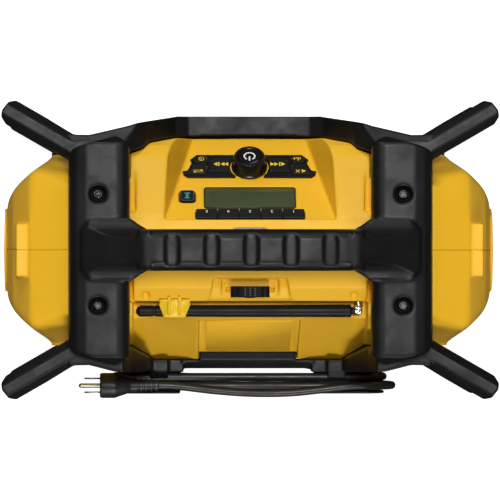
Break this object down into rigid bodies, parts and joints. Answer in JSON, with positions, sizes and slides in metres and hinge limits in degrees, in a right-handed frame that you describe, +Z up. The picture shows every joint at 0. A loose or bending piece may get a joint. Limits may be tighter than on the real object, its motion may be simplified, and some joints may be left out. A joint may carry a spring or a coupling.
{
  "type": "jobsite radio",
  "caption": "Rugged mains and battery radio in a bumper cage with a carrying handle, sloping control panel, folding antenna and a wound power cord.",
  "frame": {"origin": "on the ground under the middle of the radio, without its cord", "axes": "+X to the right of someone facing the front, +Z up, the front faces -Y"},
  "size_m": [0.4444, 0.269, 0.29],
  "materials": {
    "housing_yellow": "moulded, fine satin texture",
    "cage_black": "glass-filled, fine texture",
    "foot_rubber": "moulded",
    "screw_black": "black oxide",
    "grille_black": "powder coat",
    "speaker_metal": "zinc plated",
    "cone_black": "treated paper and rubber surround",
    "keypad_black": "satin",
    "key_rubber": "moulded",
    "knob_black": "satin",
    "pivot_chrome": "polished",
    "pin_steel": "plated",
    "display_glass": "clear, slightly green",
    "display_olive": "liquid crystal, unlit",
    "board_green": "solder mask",
    "supply_grey": "moulded",
    "plate_grey": "printed plate, bare",
    "seal_rubber": "foam",
    "clip_yellow": "moulded",
    "cord_rubber": "moulded jacket"
  },
  "bodies": {
    "radio": {"front_shell": "housing_yellow", "rear_shell": "housing_yellow", "end_plate_left": "housing_yellow", "end_plate_right": "housing_yellow", "top_frame": "cage_black", "front_bumper": "cage_black", "rear_guard": "cage_black", "bottom_frame": "cage_black", "cord_bracket": "cage_black", "feet": "foot_rubber", "cage_screws": "screw_black", "base_screws": "screw_black", "shell_screws": "screw_black", "grille_left": "grille_black", "grille_right": "grille_black", "speaker_left": "speaker_metal", "speaker_right": "speaker_metal", "speaker_cone_left": "cone_black", "speaker_cone_right": "cone_black", "keypad_left": "keypad_black", "keypad_right": "keypad_black", "battery_terminals": "knob_black", "antenna_bush": "pivot_chrome", "door_pins": "pin_steel", "plug_pins": "pin_steel", "knob_encoder": "pin_steel", "display_window": "display_glass", "display_module": "display_olive", "control_board": "board_green", "main_board": "board_green", "power_supply": "supply_grey", "top_plate": "plate_grey", "antenna_clip": "clip_yellow", "strain_relief": "cord_rubber", "power_cord": "cord_rubber", "plug": "cord_rubber"},
    "volume_knob": {"volume_knob": "knob_black"},
    "power_button": {"power_button": "knob_black"},
    "rear_door": {"rear_door": "housing_yellow", "door_seal": "seal_rubber"},
    "door_latch": {"door_latch": "knob_black"},
    "antenna_knuckle": {"antenna_knuckle": "pivot_chrome", "antenna_pin": "pivot_chrome"},
    "antenna": {"antenna": "knob_black"},
    "seek_back_key": {"seek_back_key": "key_rubber"},
    "seek_forward_key": {"seek_forward_key": "key_rubber"},
    "clock_key": {"clock_key": "key_rubber"},
    "mode_key": {"mode_key": "key_rubber"},
    "tone_key": {"tone_key": "key_rubber"},
    "mute_key": {"mute_key": "key_rubber"},
    "source_key": {"source_key": "key_rubber"},
    "preset_key_1": {"preset_key_1": "key_rubber"},
    "preset_key_2": {"preset_key_2": "key_rubber"},
    "preset_key_3": {"preset_key_3": "key_rubber"},
    "preset_key_4": {"preset_key_4": "key_rubber"},
    "preset_key_5": {"preset_key_5": "key_rubber"}
  },
  "joints": [
    {"name": "knob_turn", "type": "hinge", "parent": "radio", "child": "volume_knob", "pos_m": [0, -0.07411, 0.18157], "axis": [0, -0.7431, 0.6691], "continuous": true},
    {"name": "power_press", "type": "slide", "parent": "radio", "child": "power_button", "axis": [0, 0.7431, -0.6691], "range_m": [0, 0.001], "stiffness_N_per_m": 800, "springref_m": -0.0005},
    {"name": "door_open", "type": "hinge", "parent": "radio", "child": "rear_door", "pos_m": [0, 0.0897, 0.1005], "axis": [-1, 0, 0], "range_deg": [0, 90]},
    {"name": "latch_slide", "type": "slide", "parent": "radio", "child": "door_latch", "axis": [0, -1, 0], "range_m": [0, 0.005]},
    {"name": "antenna_raise", "type": "hinge", "parent": "radio", "child": "antenna_knuckle", "pos_m": [-0.0974, 0.0546, 0.2062], "axis": [0, -1, 0], "range_deg": [0, 90], "deforming": ["antenna_clip"]},
    {"name": "antenna_swing", "type": "hinge", "parent": "antenna_knuckle", "child": "antenna", "pos_m": [-0.0974, 0.0546, 0.2062], "axis": [0, 0, 1], "range_deg": [0, 90]},
    {"name": "seek_back_press", "type": "slide", "parent": "radio", "child": "seek_back_key", "axis": [0, 0.7431, -0.6691], "range_m": [0, 0.001], "stiffness_N_per_m": 800, "springref_m": -0.0005},
    {"name": "seek_forward_press", "type": "slide", "parent": "radio", "child": "seek_forward_key", "axis": [0, 0.7431, -0.6691], "range_m": [0, 0.001], "stiffness_N_per_m": 800, "springref_m": -0.0005},
    {"name": "clock_press", "type": "slide", "parent": "radio", "child": "clock_key", "axis": [0, 0.7431, -0.6691], "range_m": [0, 0.001], "stiffness_N_per_m": 800, "springref_m": -0.0005},
    {"name": "mode_press", "type": "slide", "parent": "radio", "child": "mode_key", "axis": [0, 0.7431, -0.6691], "range_m": [0, 0.001], "stiffness_N_per_m": 800, "springref_m": -0.0005},
    {"name": "tone_press", "type": "slide", "parent": "radio", "child": "tone_key", "axis": [0, 0.7431, -0.6691], "range_m": [0, 0.001], "stiffness_N_per_m": 800, "springref_m": -0.0005},
    {"name": "mute_press", "type": "slide", "parent": "radio", "child": "mute_key", "axis": [0, 0.7431, -0.6691], "range_m": [0, 0.001], "stiffness_N_per_m": 800, "springref_m": -0.0005},
    {"name": "source_press", "type": "slide", "parent": "radio", "child": "source_key", "axis": [0, 0.7431, -0.6691], "range_m": [0, 0.001], "stiffness_N_per_m": 800, "springref_m": -0.0005},
    {"name": "preset_key_1_press", "type": "slide", "parent": "radio", "child": "preset_key_1", "axis": [0, 0.7431, -0.6691], "range_m": [0, 0.001], "stiffness_N_per_m": 800, "springref_m": -0.0005},
    {"name": "preset_key_2_press", "type": "slide", "parent": "radio", "child": "preset_key_2", "axis": [0, 0.7431, -0.6691], "range_m": [0, 0.001], "stiffness_N_per_m": 800, "springref_m": -0.0005},
    {"name": "preset_key_3_press", "type": "slide", "parent": "radio", "child": "preset_key_3", "axis": [0, 0.7431, -0.6691], "range_m": [0, 0.001], "stiffness_N_per_m": 800, "springref_m": -0.0005},
    {"name": "preset_key_4_press", "type": "slide", "parent": "radio", "child": "preset_key_4", "axis": [0, 0.7431, -0.6691], "range_m": [0, 0.001], "stiffness_N_per_m": 800, "springref_m": -0.0005},
    {"name": "preset_key_5_press", "type": "slide", "parent": "radio", "child": "preset_key_5", "axis": [0, 0.7431, -0.6691], "range_m": [0, 0.001], "stiffness_N_per_m": 800, "springref_m": -0.0005}
  ]
}
